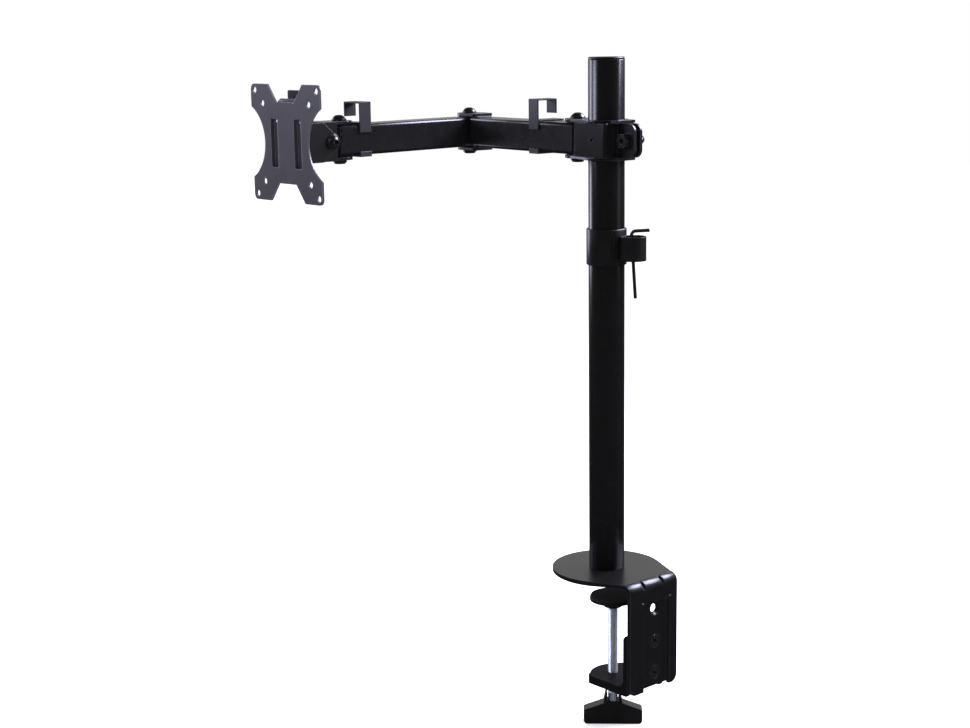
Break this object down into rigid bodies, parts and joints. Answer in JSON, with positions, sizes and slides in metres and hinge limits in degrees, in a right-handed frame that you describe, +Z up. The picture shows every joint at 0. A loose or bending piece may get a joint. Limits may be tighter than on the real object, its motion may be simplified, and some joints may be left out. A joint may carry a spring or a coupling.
{
  "type": "monitor arm",
  "caption": "Black desk-clamp monitor arm: round pole, sliding clamp, folding square-tube arms with cable clips, and a tilting plate for flat screens.",
  "frame": {"origin": "pole axis at the desk surface, on the underside of the base pad", "axes": "+Z up the pole, +X towards the hanging clamp flange, -Y out of the mounting plate's front face"},
  "size_m": [0.3269, 0.2787, 0.6631],
  "materials": {
    "black_coat": "fine-textured satin black powder coat",
    "pole_coat": "smooth satin black powder coat",
    "tube_coat": "smooth satin black powder coat",
    "plate_coat": "fine-textured satin black powder coat",
    "black_plastic": "moulded black plastic, light sheen",
    "rubber": "matt",
    "nylon": "smooth nylon",
    "black_steel": "black oxide, oiled",
    "bright_steel": "bright zinc plate",
    "pad_steel": "satin black coat",
    "zinc_steel": "zinc plated",
    "key_steel": "dark hardened steel, satin"
  },
  "bodies": {
    "base": {"base_pad": "rubber", "base_plate": "black_coat", "pole_tube": "pole_coat", "pole_cap": "black_plastic", "pole_plug": "zinc_steel", "pole_screw": "zinc_steel", "jaw_bracket": "black_coat", "jaw_nuts": "zinc_steel", "jaw_screws": "black_steel", "screw_nut": "zinc_steel"},
    "pressure_pad": {"clamp_pad": "pad_steel", "pad_facing": "rubber"},
    "spindle": {"clamp_screw": "bright_steel", "clamp_knob": "black_plastic"},
    "pole_clamp": {"clamp_band": "black_coat", "clamp_plates": "black_coat", "pinch_bolt": "black_steel", "pinch_nut": "black_steel", "grub_screw": "black_steel", "shoulder_bolt": "black_steel", "shoulder_nut": "black_steel"},
    "arm_1": {"arm_1_tube": "tube_coat", "elbow_straps": "black_coat", "shoulder_sleeve": "zinc_steel", "shoulder_washers": "nylon", "elbow_bolt": "black_steel", "elbow_nut": "black_steel", "tube_caps_1": "black_plastic"},
    "arm_2": {"arm_2_tube": "tube_coat", "elbow_sleeve": "zinc_steel", "head_sleeve": "zinc_steel", "elbow_washers": "nylon", "head_washers": "nylon", "tube_caps_2": "black_plastic"},
    "head": {"head_bracket": "black_coat", "head_bolt": "black_steel", "head_nut": "black_steel", "tilt_bolt": "black_steel", "tilt_nut": "black_steel", "tilt_washers": "nylon"},
    "tilter": {"tilt_bracket": "black_coat"},
    "plate": {"mount_plate": "plate_coat", "plate_hub": "plate_coat", "hub_washer": "nylon", "hub_nut": "black_steel"},
    "clip_1": {"cable_clip_1": "black_plastic"},
    "clip_2": {"cable_clip_2": "black_plastic"},
    "collar": {"pole_collar": "black_plastic", "cable_hoop": "black_plastic"},
    "key": {"hex_key": "key_steel"}
  },
  "joints": [
    {"name": "pad_slide", "type": "slide", "parent": "base", "child": "pressure_pad", "axis": [0, 0, 1], "range_m": [-0.067, 0.0085]},
    {"name": "spindle_turn", "type": "hinge", "parent": "pressure_pad", "child": "spindle", "pos_m": [0.0085, 0, -0.08], "axis": [0, 0, 1], "range_deg": [-16200, 2100]},
    {"name": "clamp_height", "type": "slide", "parent": "base", "child": "pole_clamp", "axis": [0, 0, 1], "range_m": [-0.055, 0.055]},
    {"name": "shoulder_swing", "type": "hinge", "parent": "pole_clamp", "child": "arm_1", "pos_m": [-0.0385, 0, 0.428], "axis": [0, 0, 1], "range_deg": [-83, 92]},
    {"name": "elbow_swing", "type": "hinge", "parent": "arm_1", "child": "arm_2", "pos_m": [-0.21296, 0.01373, 0.428], "axis": [0, 0, 1], "range_deg": [-200, 7]},
    {"name": "head_swivel", "type": "hinge", "parent": "arm_2", "child": "head", "pos_m": [-0.20685, -0.16116, 0.428], "axis": [0, 0, 1], "range_deg": [-70, 70]},
    {"name": "head_tilt", "type": "hinge", "parent": "head", "child": "tilter", "pos_m": [-0.20685, -0.18316, 0.428], "axis": [1, 0, 0], "range_deg": [-45, 45]},
    {"name": "plate_turn", "type": "hinge", "parent": "tilter", "child": "plate", "pos_m": [-0.20685, -0.22466, 0.428], "axis": [0, -1, 0], "range_deg": [-180, 180]},
    {"name": "clip_1_slide", "type": "slide", "parent": "arm_1", "child": "clip_1", "axis": [-0.9969, 0.0785, 0], "range_m": [-0.014, 0.085]},
    {"name": "clip_2_slide", "type": "slide", "parent": "arm_2", "child": "clip_2", "axis": [0.0349, -0.9994, 0], "range_m": [-0.111, 0]},
    {"name": "collar_slide", "type": "slide", "parent": "base", "child": "collar", "axis": [0, 0, 1], "range_m": [-0.26, 0.05]},
    {"name": "key_pull", "type": "slide", "parent": "collar", "child": "key", "axis": [-0.0406, -0.0456, 0.9981], "range_m": [0, 0.06]}
  ],
  "couplings": [
    {"joint": "spindle_turn", "follows": "pad_slide", "rad_per_m": 4188.8}
  ]
}
